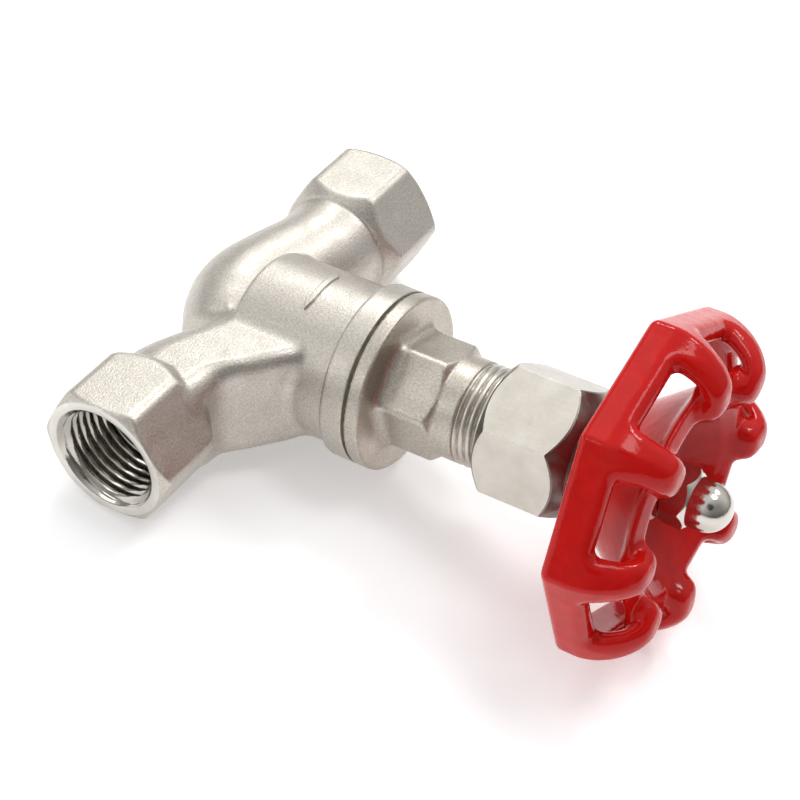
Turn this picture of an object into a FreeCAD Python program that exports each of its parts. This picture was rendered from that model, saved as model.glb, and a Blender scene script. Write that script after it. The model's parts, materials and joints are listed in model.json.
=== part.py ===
import FreeCAD, Part
import math
import os
from FreeCAD import Vector

# Threaded globe valve, DN15, as separate pieces. All sizes are millimetres.
# Everything is drawn first in the valve's own frame: x along the flow, z along the stem, the two axes
# meeting at the origin. The last step lays the valve on its side, the way it rests on a table.

os.makedirs("parts", exist_ok=True)

# Female pipe thread G 1/2 in both ends
thread_major = 20.955
thread_minor = 18.631
thread_length = 13.0
mouth_chamfer = 0.3

# Body casting
face_to_face = 92.0
end_hex_flats = 25.0
end_hex_length = 13.5
end_hex_nose = 1.3
end_hex_heel = 2.4
cast_hex_edge = 1.2
straight_end = 16.5
tube_radius = 11.0
wall = 3.0
neck_wall = 2.2
neck_start = 3.8
neck_round = 4.0
rim_step = 1.5
rim_height = 4.9
rim_edge = 0.6
joint_face = 31.8
chamber_radius = 12.2
bridge_thickness = 4.2
seat_bore_radius = 6.6
seat_land_width = 2.0
seat_land_height = 1.5
bonnet_thread_radius = 13.5
bonnet_thread_depth = 9.3

# Bonnet and its gasket
gasket_thickness = 0.6
flange_thickness = 2.9
bonnet_hex_flats = 20.2
bonnet_hex_length = 10.2
bonnet_hex_turn = 44.0
bonnet_neck_radius = 9.9
bonnet_neck_length = 20.5
bonnet_pocket_radius = 10.4
box_radius = 7.0
box_depth = 19.5
throat_length = 2.5

# Stem
stem_radius = 4.0
stem_thread_radius = 4.93
lift = 6.0
button_radius = 5.9
button_thickness = 3.4
square_flats = 6.0
tip_radius = 2.95

# Disc and what it carries
disc_plate = 3.1
disc_rim_wall = 1.1
disc_cup_wall = 1.4
seat_ring_radius = 9.3
seat_ring_thickness = 2.4
disc_stud_radius = 2.0
retainer_grip = 4.4
retainer_head = 2.0
retainer_flats = 13.0
lock_washer_radius = 5.9
lock_washer_thickness = 1.2
lock_nut_flats = 7.0
lock_nut_height = 3.2

# Packing, gland and gland nut
packing_washer_thickness = 1.2
packing_shoulder = 1.2
packing_ring_height = 2.2
packing_rise = 1.5
packing_cap_height = 3.0
gland_gap = 1.5
gland_flange_radius = 8.6
gland_flange = 2.0
gland_nut_flats = 24.0
gland_nut_turn = 25.0
gland_nut_grip = 9.8
gland_nut_length = 17.8
gland_nut_corner = 1.9

# Handwheel: eight posts rise from the rim and arch over to the dished centre
wheel_posts = 8
wheel_turn = 39.2
wheel_vertex_radius = 33.3
rim_width = 7.4
rim_wall = 3.6
rim_round = 1.2
post_width = 9.5
post_tip_width = 6.5
post_height = 16.0
post_wall = 4.0
post_shoulder = 5.6
ring_height = 13.1
ring_slope = 1.4
ring_radius = 25.6
ring_depth = 2.8
dish_mouth = 18.6
dish_floor = 12.4
hub_gap = 5.5
hub_overhang = 2.0
hub_length = 7.7
hub_radius = 8.2
hub_foot = 12.8
valley = 2.2

# Fastening of the wheel: M6 washers and domed cap nut
flat_washer_radius = 6.0
flat_washer_thickness = 1.0
spring_washer_radius = 5.2
spring_washer_thickness = 1.5
cap_nut_flats = 10.0
cap_nut_hex = 4.9
cap_nut_height = 12.0
dome_radius = 4.65

# Clearances
slip = 0.1
running = 0.05
loose = 0.4

# Radii and levels that follow from the sizes above
neck_radius = bonnet_thread_radius + neck_wall
rim_radius = neck_radius + rim_step
rim_start = joint_face - rim_height
chamber_floor = neck_start + wall
seat_level = chamber_floor + seat_land_height
disc_floor = seat_level + seat_ring_thickness + disc_plate
retainer_radius = button_radius + loose + 0.7
flange_face = joint_face + gasket_thickness
flange_top = flange_face + flange_thickness
bonnet_hex_top = flange_top + bonnet_hex_length
bonnet_top = bonnet_hex_top + bonnet_neck_length
box_floor = bonnet_top - box_depth
gland_nut_start = bonnet_top - gland_nut_grip
gland_nut_end = gland_nut_start + gland_nut_length
hub_back = gland_nut_end + hub_gap
hub_face = hub_back + hub_length
wheel_back = hub_back + hub_overhang
cap_nut_seat = hub_face + flat_washer_thickness + spring_washer_thickness


def ring_face(points):
    """A flat face in the XZ plane from (radius, height) points."""
    corners = [Vector(r, 0, z) for r, z in points]
    return Part.Face(Part.makePolygon(corners + corners[:1]))


def turned(points):
    """A solid of revolution about the stem axis."""
    return ring_face(points).revolve(Vector(0, 0, 0), Vector(0, 0, 1), 360)


def tube(outer, inner, low, high):
    return turned([(inner, low), (outer, low), (outer, high), (inner, high)])


def rod(radius, low, high):
    return Part.makeCylinder(radius, high - low, Vector(0, 0, low))


def prism(sides, across, low, high, turn=0.0):
    """A regular prism about the stem axis; turn is the azimuth of one corner."""
    corner = across / 2 / math.cos(math.pi / sides)
    ring = []
    for k in range(sides):
        angle = math.radians(turn) + 2 * math.pi * k / sides
        ring.append(Vector(corner * math.cos(angle), corner * math.sin(angle), low))
    return Part.Face(Part.makePolygon(ring + ring[:1])).extrude(Vector(0, 0, high - low))


def long_edges(solid, length):
    """The straight edges of a prism that run along its axis."""
    found = []
    for edge in solid.Edges:
        low, high = edge.BoundBox.ZMin, edge.BoundBox.ZMax
        if abs(high - low - length) < 1e-6:
            found.append(edge)
    return found


def cast_prism(sides, across, low, high, turn, edge_round):
    blank = prism(sides, across, low, high, turn)
    return blank.makeFillet(edge_round, long_edges(blank, high - low))


def oval(x, half_width, centre, half_height):
    """An oval wire standing across the flow axis."""
    stretch = FreeCAD.Matrix()
    stretch.scale(1.0, half_width, half_height)
    circle = Part.makeCircle(1.0, Vector(0, 0, 0), Vector(1, 0, 0))
    shape = circle.transformGeometry(stretch)
    shape.translate(Vector(x, 0, centre))
    return Part.Wire([shape])


def rounded_box_wire(x, half_width, bottom, top, low_corner, high_corner):
    """A rounded rectangle standing across the flow axis; its lower and upper corners may differ."""
    y0, y1 = -half_width, half_width
    low = low_corner * (1 - math.sqrt(0.5))
    high = high_corner * (1 - math.sqrt(0.5))
    edges = []

    def side(a, b):
        edges.append(Part.LineSegment(Vector(x, *a), Vector(x, *b)).toShape())

    def bend(a, mid, b):
        edges.append(Part.Arc(Vector(x, *a), Vector(x, *mid), Vector(x, *b)).toShape())

    side((y0 + low_corner, bottom), (y1 - low_corner, bottom))
    bend((y1 - low_corner, bottom), (y1 - low, bottom + low), (y1, bottom + low_corner))
    side((y1, bottom + low_corner), (y1, top - high_corner))
    bend((y1, top - high_corner), (y1 - high, top - high), (y1 - high_corner, top))
    side((y1 - high_corner, top), (y0 + high_corner, top))
    bend((y0 + high_corner, top), (y0 + high, top - high), (y0, top - high_corner))
    side((y0, top - high_corner), (y0, bottom + low_corner))
    bend((y0, bottom + low_corner), (y0 + low, bottom + low), (y0 + low_corner, bottom))
    return Part.Wire(edges)


def smoothed(sections):
    """Adds a section between each two, on a smooth curve through its neighbours."""
    finer = [sections[0]]
    last = len(sections) - 1
    for k in range(last):
        near = (sections[max(k - 1, 0)], sections[k], sections[k + 1], sections[min(k + 2, last)])
        finer.append([(9 * (b + c) - a - d) / 16 for a, b, c, d in zip(*near)])
        finer.append(sections[k + 1])
    return finer


def along_flow(shape, side):
    """Turns a shape drawn up the stem axis from a port face so that it stands in that port."""
    shape.rotate(Vector(0, 0, 0), Vector(0, 1, 0), 90 if side < 0 else -90)
    shape.translate(Vector(side * face_to_face / 2, 0, 0))
    return shape


def threaded_end(side):
    """Cast hexagon end, coned at the nose and the heel, corners towards the stem."""
    corner = end_hex_flats / math.sqrt(3)
    heel = end_hex_length + end_hex_heel
    blank = cast_prism(6, end_hex_flats, 0, heel + 2, 0, cast_hex_edge)
    envelope = turned([(0, 0), (end_hex_flats / 2 - 0.3, 0), (corner, end_hex_nose),
                       (corner, end_hex_length), (end_hex_flats / 2, heel),
                       (tube_radius - 0.5, heel + 1.2), (0, heel + 1.2)])
    return along_flow(blank.common(envelope), side)


def port(side):
    """Bored and chamfered hole for the pipe thread, with its drill cone left open into the passage."""
    bore = thread_minor / 2
    mouth = thread_major / 2 + mouth_chamfer
    hole = turned([(0, -1), (mouth + 1, -1), (mouth, 0), (bore, mouth - bore), (bore, thread_length + 2),
                   (0, thread_length + 2)])
    return along_flow(hole, side)


def upper_passage(skin):
    """The end that rises into the chamber above the seat; skin is what lies outside the passage wall."""
    end = face_to_face / 2
    neck = neck_radius
    if skin:
        round_end = tube_radius - 0.2
        sections = [(end - thread_length, tube_radius, -tube_radius, tube_radius, round_end, 7.0),
                    (end - straight_end, tube_radius, -tube_radius, tube_radius, round_end, 5.0),
                    (neck + 9.5, tube_radius, 1.7 - tube_radius, tube_radius + 0.4, 9.0, 4.0),
                    (neck + 4.5, tube_radius, 4.2 - tube_radius, tube_radius + 4.4, 8.5, 3.5),
                    (neck - 2.0, tube_radius, 8.0 - tube_radius, tube_radius + 9.6, 8.0, 3.5),
                    (neck - 6.8, tube_radius - 0.4, 11.0 - tube_radius, tube_radius + 12.6, 6.0, 3.5)]
        wires = [rounded_box_wire(-section[0], *section[1:]) for section in smoothed(sections)]
    else:
        inside = tube_radius - wall
        sections = [(end - thread_length, inside + 1.0, 0.0, inside + 1.0),
                    (neck + 9.5, inside + 0.5, 0.6, inside),
                    (neck + 4.5, inside + 0.5, 3.6, inside),
                    (neck - 2.0, inside + 0.5, 9.6, inside - 0.8),
                    (chamber_radius - 3.2, inside, 12.8, inside - 2.4)]
        wires = [oval(-x, w, mid, h) for x, w, mid, h in sections]
    return Part.makeLoft(wires, True, True)


def lower_passage(skin):
    """The end that dips below the seat and turns up into the seat bore."""
    end = face_to_face / 2
    inside = tube_radius - wall
    if skin:
        sections = [(end - thread_length, tube_radius, 0.0, tube_radius),
                    (end - straight_end, tube_radius, 0.0, tube_radius),
                    (neck_radius + 7.2, tube_radius, -0.2, tube_radius),
                    (neck_radius - 1.8, tube_radius + 0.7, -2.3, tube_radius + 0.7),
                    (5.5, tube_radius + 1.3, -3.6, tube_radius + 1.3),
                    (-2.0, tube_radius + 0.8, -2.9, tube_radius + 0.8),
                    (-8.0, tube_radius - 1.2, -1.6, tube_radius - 1.2),
                    (-11.5, tube_radius - 4.4, -0.6, tube_radius - 4.4),
                    (-13.0, 2.5, -0.2, 2.5)]
        sections = smoothed(sections)
    else:
        top = neck_start + wall - bridge_thickness
        sections = [(end - thread_length, inside + 1.0, 0.0, inside + 1.0),
                    (neck_radius + 7.2, inside + 0.3, -0.4, inside),
                    (neck_radius - 1.8, inside + 0.6, top - inside + 2.6, inside),
                    (chamber_radius - 2.5, inside + 0.8, top - inside + 0.8, inside - 0.2),
                    (3.0, inside + 0.8, top - inside + 0.2, inside - 0.4),
                    (-3.5, inside, top - inside + 0.8, inside - 1.0),
                    (-7.6, inside - 2.6, top - inside + 2.6, inside - 4.0)]
    wires = [oval(*section) for section in sections]
    return Part.makeLoft(wires, True, True)


def valve_body():
    neck_side = neck_radius - neck_round
    blend = neck_round * math.sqrt(0.5)
    knee = Part.Arc(Vector(neck_side, 0, neck_start),
                    Vector(neck_side + blend, 0, neck_start + neck_round - blend),
                    Vector(neck_radius, 0, neck_start + neck_round)).toShape()
    outline = [(neck_radius, neck_start + neck_round), (neck_radius, rim_start),
               (rim_radius - rim_edge, rim_start), (rim_radius, rim_start + rim_edge),
               (rim_radius, joint_face), (0, joint_face), (0, neck_start), (neck_side, neck_start)]
    corners = [Vector(r, 0, z) for r, z in outline]
    wall_face = Part.Face(Part.Wire([knee] + Part.makePolygon(corners).Edges))
    neck = wall_face.revolve(Vector(0, 0, 0), Vector(0, 0, 1), 360)
    casting = neck.fuse([upper_passage(True), lower_passage(True), threaded_end(-1), threaded_end(1)])

    thread_start = joint_face - bonnet_thread_depth - 0.6
    chamber = turned([(0, chamber_floor), (chamber_radius, chamber_floor), (chamber_radius, thread_start),
                      (bonnet_thread_radius + slip, thread_start),
                      (bonnet_thread_radius + slip, joint_face + 1), (0, joint_face + 1)])
    seat_hole = rod(seat_bore_radius, chamber_floor - bridge_thickness - 2.0, seat_level + 1)
    hollow = casting.cut([chamber, upper_passage(False), lower_passage(False), port(-1), port(1)])
    land = tube(seat_bore_radius + seat_land_width, seat_bore_radius - 1, chamber_floor - 1.5, seat_level)
    return hollow.fuse(land).cut(seat_hole).removeSplitter()


def bonnet_gasket():
    return tube(rim_radius - slip, bonnet_thread_radius + slip, joint_face, joint_face + gasket_thickness)


def bonnet():
    apothem = bonnet_hex_flats / 2
    corner = bonnet_hex_flats / math.sqrt(3)
    pocket_top = flange_face - 1.4
    spigot = joint_face - bonnet_thread_depth
    blank = turned([(0, spigot), (bonnet_thread_radius, spigot), (bonnet_thread_radius, flange_face),
                    (rim_radius, flange_face), (rim_radius, flange_top - rim_edge),
                    (rim_radius - rim_edge, flange_top), (corner + 0.8, flange_top),
                    (bonnet_neck_radius, flange_top + 0.8), (bonnet_neck_radius, bonnet_top - 0.8),
                    (bonnet_neck_radius - 0.8, bonnet_top), (0, bonnet_top)])
    hexagon = cast_prism(6, bonnet_hex_flats, flange_top - 1, bonnet_hex_top + 0.8, bonnet_hex_turn,
                         0.8 * cast_hex_edge)
    cone = turned([(0, 0), (corner, 0), (corner, bonnet_hex_top), (apothem - 0.2, bonnet_hex_top + 0.8),
                   (0, bonnet_hex_top + 0.8)])
    bore = stem_thread_radius + running
    throat = box_floor - throat_length
    inside = turned([(0, spigot - 1), (bonnet_pocket_radius, spigot - 1), (bonnet_pocket_radius, pocket_top),
                     (bore, pocket_top), (bore, throat), (stem_radius + slip, throat),
                     (stem_radius + slip, box_floor), (box_radius, box_floor), (box_radius, bonnet_top + 1),
                     (0, bonnet_top + 1)])
    return blank.fuse(hexagon.common(cone)).cut(inside).removeSplitter()


def stem():
    foot = disc_floor + running
    button_top = foot + button_thickness
    thread_end = box_floor - throat_length - lift - slip
    thread_start = disc_floor + button_thickness + retainer_grip + retainer_head + 1.0
    square_top = hub_face - 0.3
    tip = cap_nut_seat + cap_nut_height - dome_radius - 0.6
    shank = turned([(0, foot), (button_radius - 0.5, foot), (button_radius, foot + 0.5),
                    (button_radius, button_top), (stem_radius, button_top), (stem_radius, thread_start - 0.9),
                    (stem_thread_radius, thread_start), (stem_thread_radius, thread_end),
                    (stem_radius, thread_end), (stem_radius, hub_back), (0, hub_back)])
    square = prism(4, square_flats, hub_back - 0.5, square_top, wheel_turn)
    square = square.common(rod(stem_radius, hub_back - 0.5, square_top))
    end = turned([(0, square_top - 0.5), (tip_radius, square_top - 0.5), (tip_radius, tip - 0.6),
                  (tip_radius - 0.6, tip), (0, tip)])
    return shank.fuse([square, end]).removeSplitter()


def disc():
    face = seat_level
    plate_low = face + seat_ring_thickness
    floor = disc_floor
    rim = seat_ring_radius + slip
    cup = button_radius + loose
    grip = retainer_radius + slip
    cup_top = floor + button_thickness + retainer_grip
    stud_end = face - lock_washer_thickness - lock_nut_height - 0.6
    step = floor + button_thickness + slip
    return turned([(0, stud_end), (disc_stud_radius - 0.4, stud_end), (disc_stud_radius, stud_end + 0.4),
                   (disc_stud_radius, plate_low), (rim, plate_low), (rim, face + 0.8),
                   (rim + disc_rim_wall, face + 0.8), (rim + disc_rim_wall, floor - 0.6),
                   (grip + disc_cup_wall, floor), (grip + disc_cup_wall, cup_top), (grip, cup_top),
                   (grip, step), (cup, step), (cup, floor), (0, floor)])


def disc_retainer():
    low = disc_floor + button_thickness + 2 * slip
    shoulder = disc_floor + button_thickness + retainer_grip
    hole = stem_thread_radius + 2 * slip
    ring = tube(retainer_radius, hole, low, shoulder)
    head = prism(6, retainer_flats, shoulder, shoulder + retainer_head, 15)
    return ring.fuse(head.cut(rod(hole, shoulder - 1, shoulder + retainer_head + 1))).removeSplitter()


def disc_seat_ring():
    return tube(seat_ring_radius, disc_stud_radius + slip, seat_level, seat_level + seat_ring_thickness)


def disc_lock_washer():
    return tube(lock_washer_radius, disc_stud_radius + slip, seat_level - lock_washer_thickness, seat_level)


def disc_lock_nut():
    top = seat_level - lock_washer_thickness
    return hex_nut(lock_nut_flats, disc_stud_radius + slip, top - lock_nut_height, top, 0)


def hex_nut(flats, hole, low, high, turn):
    """A plain nut, coned at both ends of its corners."""
    corner = flats / math.sqrt(3)
    apothem = flats / 2
    rise = (corner - apothem) * 0.6
    cone = turned([(hole, low), (apothem, low), (corner, low + rise), (corner, high - rise), (apothem, high),
                   (hole, high)])
    return prism(6, flats, low, high, turn).common(cone)


def packing_washer():
    return tube(box_radius - slip, stem_radius + slip, box_floor, box_floor + packing_washer_thickness)


def packing_piece(low, side, peak_low, peak_high):
    """A packing ring: side is its height at the walls, the peaks say how far its middle rises."""
    inner = stem_radius + running
    outer = box_radius - running
    middle = (inner + outer) / 2
    return turned([(inner, low), (middle, low + peak_low), (outer, low), (outer, low + side),
                   (middle, low + side + peak_high), (inner, low + side)])


def packing_level(rings):
    return box_floor + packing_washer_thickness + packing_shoulder + rings * packing_ring_height


def packing_base():
    return packing_piece(packing_level(0) - packing_shoulder, packing_shoulder, 0.0, packing_rise)


def packing_ring(number):
    return packing_piece(packing_level(number), packing_ring_height, packing_rise, packing_rise)


def packing_cap():
    return packing_piece(packing_level(3), packing_cap_height, packing_rise, 0.0)


def gland():
    low = packing_level(3) + packing_cap_height
    flange = bonnet_top + gland_gap
    hole = stem_radius + slip
    body = box_radius - slip
    return turned([(hole, low), (body - 0.4, low), (body, low + 0.4), (body, flange),
                   (gland_flange_radius, flange), (gland_flange_radius, flange + gland_flange),
                   (hole, flange + gland_flange)])


def gland_nut():
    low = gland_nut_start
    high = gland_nut_end
    apothem = gland_nut_flats / 2
    corner = gland_nut_flats / math.sqrt(3)
    ceiling = bonnet_top + gland_gap + gland_flange
    thread = bonnet_neck_radius + slip
    cone = turned([(0, low), (apothem, low), (corner, low + gland_nut_corner), (corner, high - 3.4),
                   (apothem - 1.6, high), (0, high)])
    inside = turned([(0, low - 1), (thread + 1, low - 1), (thread + 0.5, low), (thread, low + 0.6),
                     (thread, bonnet_top + 0.6), (gland_flange_radius + 2 * slip, bonnet_top + 0.6),
                     (gland_flange_radius + 2 * slip, ceiling), (stem_radius + loose, ceiling),
                     (stem_radius + loose, high - 0.6), (stem_radius + loose + 1.2, high + 0.6),
                     (0, high + 0.6)])
    return prism(6, gland_nut_flats, low, high, gland_nut_turn).common(cone).cut(inside)


def octagon_shape(profile):
    """A solid with eight-sided sections; profile gives the radius of its corners against height."""
    shrink = math.cos(math.pi / wheel_posts)
    half = [(r * shrink, z) for r, z in profile]
    whole = ring_face(half + [(-r, z) for r, z in reversed(half)])
    reach = 2 * wheel_vertex_radius
    shape = None
    for k in range(wheel_posts // 2):
        slab = whole.extrude(Vector(0, 2 * reach, 0))
        slab.translate(Vector(0, -reach, 0))
        slab.rotate(Vector(0, 0, 0), Vector(0, 0, 1), wheel_turn + (k + 0.5) * 360 / wheel_posts)
        shape = slab if shape is None else shape.common(slab)
    return shape


def arch_profile(inset):
    """Corner radius against height of the arched posts, drawn in all round by inset."""
    nose = post_height - post_shoulder
    centre = wheel_vertex_radius - nose + 0.7
    shoulder = wheel_back + post_shoulder
    points = [(wheel_vertex_radius - inset, wheel_back - inset / 4), (wheel_vertex_radius - inset, shoulder)]
    steps = 6
    for k in range(1, steps + 1):
        angle = math.pi / 2 * k / steps
        points.append((centre + (wheel_vertex_radius - centre - inset) * math.cos(angle),
                       shoulder + (nose - inset) * math.sin(angle)))
    return points


def wheel_posts_shape():
    top = wheel_back + post_height
    shell = octagon_shape(arch_profile(0)).cut(octagon_shape(arch_profile(post_wall)))
    mouth = turned([(0, top + 1), (dish_mouth + 4.2, top + 1), (dish_mouth + 4.2, top),
                    (dish_mouth + 1.8, top - 0.7), (dish_mouth + 0.5, top - 2.0),
                    (dish_mouth, top - post_wall), (0, top - post_wall)])
    shell = shell.cut(mouth)
    tip, root = post_tip_width / 2, post_width / 2
    inner, outer = dish_mouth - 1, wheel_vertex_radius + 1
    plan = [Vector(inner, -tip, wheel_back), Vector(outer, -root, wheel_back),
            Vector(outer, root, wheel_back), Vector(inner, tip, wheel_back)]
    posts = []
    for k in range(wheel_posts):
        bar = Part.Face(Part.makePolygon(plan + plan[:1])).extrude(Vector(0, 0, 2 * post_height))
        bar.rotate(Vector(0, 0, 0), Vector(0, 0, 1), wheel_turn + k * 360 / wheel_posts)
        posts.append(shell.common(bar))
    return posts


def handwheel():
    flat = math.cos(math.pi / wheel_posts)
    rim_top = wheel_back + rim_width
    rim_flats = 2 * wheel_vertex_radius * flat
    rim = cast_prism(wheel_posts, rim_flats, wheel_back, rim_top, wheel_turn, rim_round)
    rim = rim.cut(prism(wheel_posts, rim_flats - 2 * rim_wall, wheel_back - 1, rim_top + 1, wheel_turn))
    ring_top = wheel_back + ring_height
    ring_low = ring_top - ring_depth
    ring = octagon_shape([(ring_radius, ring_low), (ring_radius, ring_top - ring_slope),
                          ((dish_mouth + 0.5) / flat, ring_top)])
    ring = ring.cut(rod(dish_mouth, ring_low - 1, ring_top + 1))
    groove = hub_face - valley
    dish = turned([(0, hub_back), (hub_foot, hub_back), (hub_foot + 1.3, hub_back + 2.0),
                   (ring_radius * flat - 1.6, ring_low), (ring_radius * flat - 1.6, ring_low + 1.0),
                   (dish_mouth + 0.4, ring_top), (dish_mouth, ring_top), (dish_mouth - 0.8, ring_top - 1.4),
                   (dish_floor, groove), (hub_radius + 0.8, groove), (hub_radius, hub_face), (0, hub_face)])
    wheel = rim.fuse(wheel_posts_shape() + [ring, dish])
    square = prism(4, square_flats + 2 * running, hub_back - 1, hub_face + 1, wheel_turn)
    return wheel.cut(square).removeSplitter()


def hub_washer():
    return tube(flat_washer_radius, tip_radius + 0.25, hub_face, hub_face + flat_washer_thickness)


def hub_spring_washer():
    low = hub_face + flat_washer_thickness
    ring = tube(spring_washer_radius, tip_radius + slip, low, low + spring_washer_thickness)
    gap = Part.makeBox(spring_washer_radius, 0.8, 2 * spring_washer_thickness,
                       Vector(0, -0.4, low - 0.5 * spring_washer_thickness))
    gap.rotate(Vector(0, 0, 0), Vector(0, 0, 1), wheel_turn + 180)
    return ring.cut(gap)


def dome_nut():
    low = cap_nut_seat
    apothem = cap_nut_flats / 2
    corner = cap_nut_flats / math.sqrt(3)
    hex_top = low + cap_nut_hex
    centre = low + cap_nut_height - dome_radius
    rise = corner - apothem
    hole = tip_radius + running
    hexagon = prism(6, cap_nut_flats, low, hex_top, wheel_turn + 15)
    cone = turned([(0, low), (apothem, low), (corner, low + 0.4), (corner, hex_top - rise),
                   (apothem - 0.1, hex_top), (0, hex_top)])
    dome = Part.makeSphere(dome_radius, Vector(0, 0, centre)).fuse(rod(dome_radius, hex_top - 0.5, centre))
    blind = rod(hole, low - 1, centre - 0.3)
    return hexagon.common(cone).fuse(dome).cut(blind).removeSplitter()


pieces = {
    "valve_body": valve_body(),
    "bonnet_gasket": bonnet_gasket(),
    "bonnet": bonnet(),
    "packing_washer": packing_washer(),
    "packing_base": packing_base(),
    "packing_ring_low": packing_ring(0),
    "packing_ring_mid": packing_ring(1),
    "packing_ring_top": packing_ring(2),
    "packing_cap": packing_cap(),
    "gland": gland(),
    "gland_nut": gland_nut(),
    "disc": disc(),
    "disc_retainer": disc_retainer(),
    "disc_seat_ring": disc_seat_ring(),
    "disc_lock_washer": disc_lock_washer(),
    "disc_lock_nut": disc_lock_nut(),
    "stem": stem(),
    "handwheel": handwheel(),
    "hub_washer": hub_washer(),
    "hub_spring_washer": hub_spring_washer(),
    "dome_nut": dome_nut(),
}

# The valve rests on the rounded lower corners of both end hexagons and on the wheel's lowest corner
corner_round = cast_hex_edge
shrink = 1 - cast_hex_edge / (end_hex_flats / 2)
hex_y = shrink * end_hex_flats / 2
hex_z = -shrink * end_hex_flats / 2 / math.sqrt(3)
azimuths = [math.radians(wheel_turn + k * 360 / wheel_posts) for k in range(wheel_posts)]
drop = wheel_vertex_radius * max(-math.sin(a) for a in azimuths)
across, along = drop - hex_y, wheel_back - hex_z
tilt = math.acos(corner_round / math.hypot(across, along)) - math.atan2(along, across)
floor_level = wheel_back * math.sin(tilt) - drop * math.cos(tilt)
for piece in pieces.values():
    piece.rotate(Vector(0, 0, 0), Vector(1, 0, 0), 90 - math.degrees(tilt))
depths = [point.y for piece in pieces.values() for point in piece.tessellate(0.02)[0]]
middle = -(min(depths) + max(depths)) / 2
for name, piece in pieces.items():
    piece.translate(Vector(0, middle, -floor_level))
    piece.exportStep("parts/" + name + ".step")
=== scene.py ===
import json
import math

import bpy
import numpy as np
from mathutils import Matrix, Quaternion, Vector


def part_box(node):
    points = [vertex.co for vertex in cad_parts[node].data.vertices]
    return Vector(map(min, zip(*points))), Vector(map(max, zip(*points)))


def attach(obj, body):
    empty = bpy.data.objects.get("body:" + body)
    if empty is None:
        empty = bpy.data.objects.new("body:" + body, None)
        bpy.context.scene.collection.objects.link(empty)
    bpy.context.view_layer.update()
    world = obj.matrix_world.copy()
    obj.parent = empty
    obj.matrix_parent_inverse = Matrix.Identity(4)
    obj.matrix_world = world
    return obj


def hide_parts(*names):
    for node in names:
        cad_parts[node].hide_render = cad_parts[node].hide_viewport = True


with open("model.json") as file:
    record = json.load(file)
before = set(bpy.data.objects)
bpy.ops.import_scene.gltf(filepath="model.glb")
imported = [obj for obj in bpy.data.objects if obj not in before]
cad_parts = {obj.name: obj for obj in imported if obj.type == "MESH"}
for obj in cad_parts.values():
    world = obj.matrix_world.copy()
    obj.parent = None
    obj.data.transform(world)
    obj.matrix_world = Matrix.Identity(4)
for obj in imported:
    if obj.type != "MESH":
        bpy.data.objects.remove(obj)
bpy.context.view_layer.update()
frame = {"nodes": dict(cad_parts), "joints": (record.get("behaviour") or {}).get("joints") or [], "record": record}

# Sizes are millimetres in the valve's own frame: x along the flow, z along the stem towards the wheel,
# y across both, and the origin where the two axes meet. The frame's record gives its place and tilt.
MM = 0.001
mounts = {mount["name"]: mount for mount in frame["record"]["mounts"]}
joints = {joint["name"]: joint for joint in frame["joints"]}
inlet_place = np.array(mounts["inlet_thread"]["pos_m"])
outlet_place = np.array(mounts["outlet_thread"]["pos_m"])
stem_axis = np.array(joints["plug_lift"]["axis"])
stem_axis = stem_axis / np.linalg.norm(stem_axis)
flow_axis = np.array([1.0, 0.0, 0.0])
valve_axes = np.array([flow_axis, np.cross(stem_axis, flow_axis), stem_axis])
valve_origin = (inlet_place + outlet_place) / 2


def to_world(points):
    """Points in mm in the valve's own frame as places in the world, in metres."""
    return valve_origin + (np.asarray(points, float) @ valve_axes) * MM


def span_along_stem(node):
    """Lowest and highest level of a CAD node along the stem, and its largest radius about it."""
    place = np.array([vertex.co for vertex in frame["nodes"][node].data.vertices])
    local = (place - valve_origin) @ valve_axes.T / MM
    return local[:, 2].min(), local[:, 2].max(), np.hypot(local[:, 0], local[:, 1]).max()


# Body casting
port_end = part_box("valve_body")[1].x / MM
face_gap = 0.05
end_hex_flats = 25.0
end_hex_length = 13.5
end_hex_nose = 1.3
end_hex_heel = 2.4
end_hex_blend = 0.7
nose_blend = 0.25
heel_blend = 0.5
tube_radius = 11.0
straight_start = port_end - 16.5
straight_end = port_end - 13
wall = 3.0
neck_radius = 15.7
neck_start = 3.8
neck_round = 1.0
neck_under_round = 4.2
neck_blend = 1.3
rim_radius = 17.2
rim_start = 26.9
rim_round = 0.5
joint_face = 31.8
joint_lip = 0.22
joint_edge = 0.15
chamber_radius = 12.2
chamber_floor = neck_start + wall
chamber_top = 23.0
mouth_floor = 21.9
seat_bore_radius = 6.6
seat_land_width = 2.0
seat_land = 1.5
bridge_reach = 6.0
cast_edge = 1.3
cast_blend = 3.2
hollow_edge = 0.3
body_low = -17.0

# Pipe thread in both ends, G 1/2 with 14 turns an inch, and the faced ring round it
pipe_major = 20.955
pipe_minor = 18.631
pipe_pitch = 25.4 / 14
pipe_length = 13.0
pipe_run_out = 1.6
pipe_ring_step = 0.11
mouth_chamfer = 0.3
drill_depth = 15.0
faced_radius = 12.35
faced_edge = 0.08
faced_depth = 0.5

# Raised flow arrow on the neck
arrow_level = 17.1
arrow_tip = -6.5
arrow_barb = -3.8
arrow_tail = 4.6
arrow_half_width = 0.6
arrow_barb_width = 1.1
arrow_height = 0.5

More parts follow.
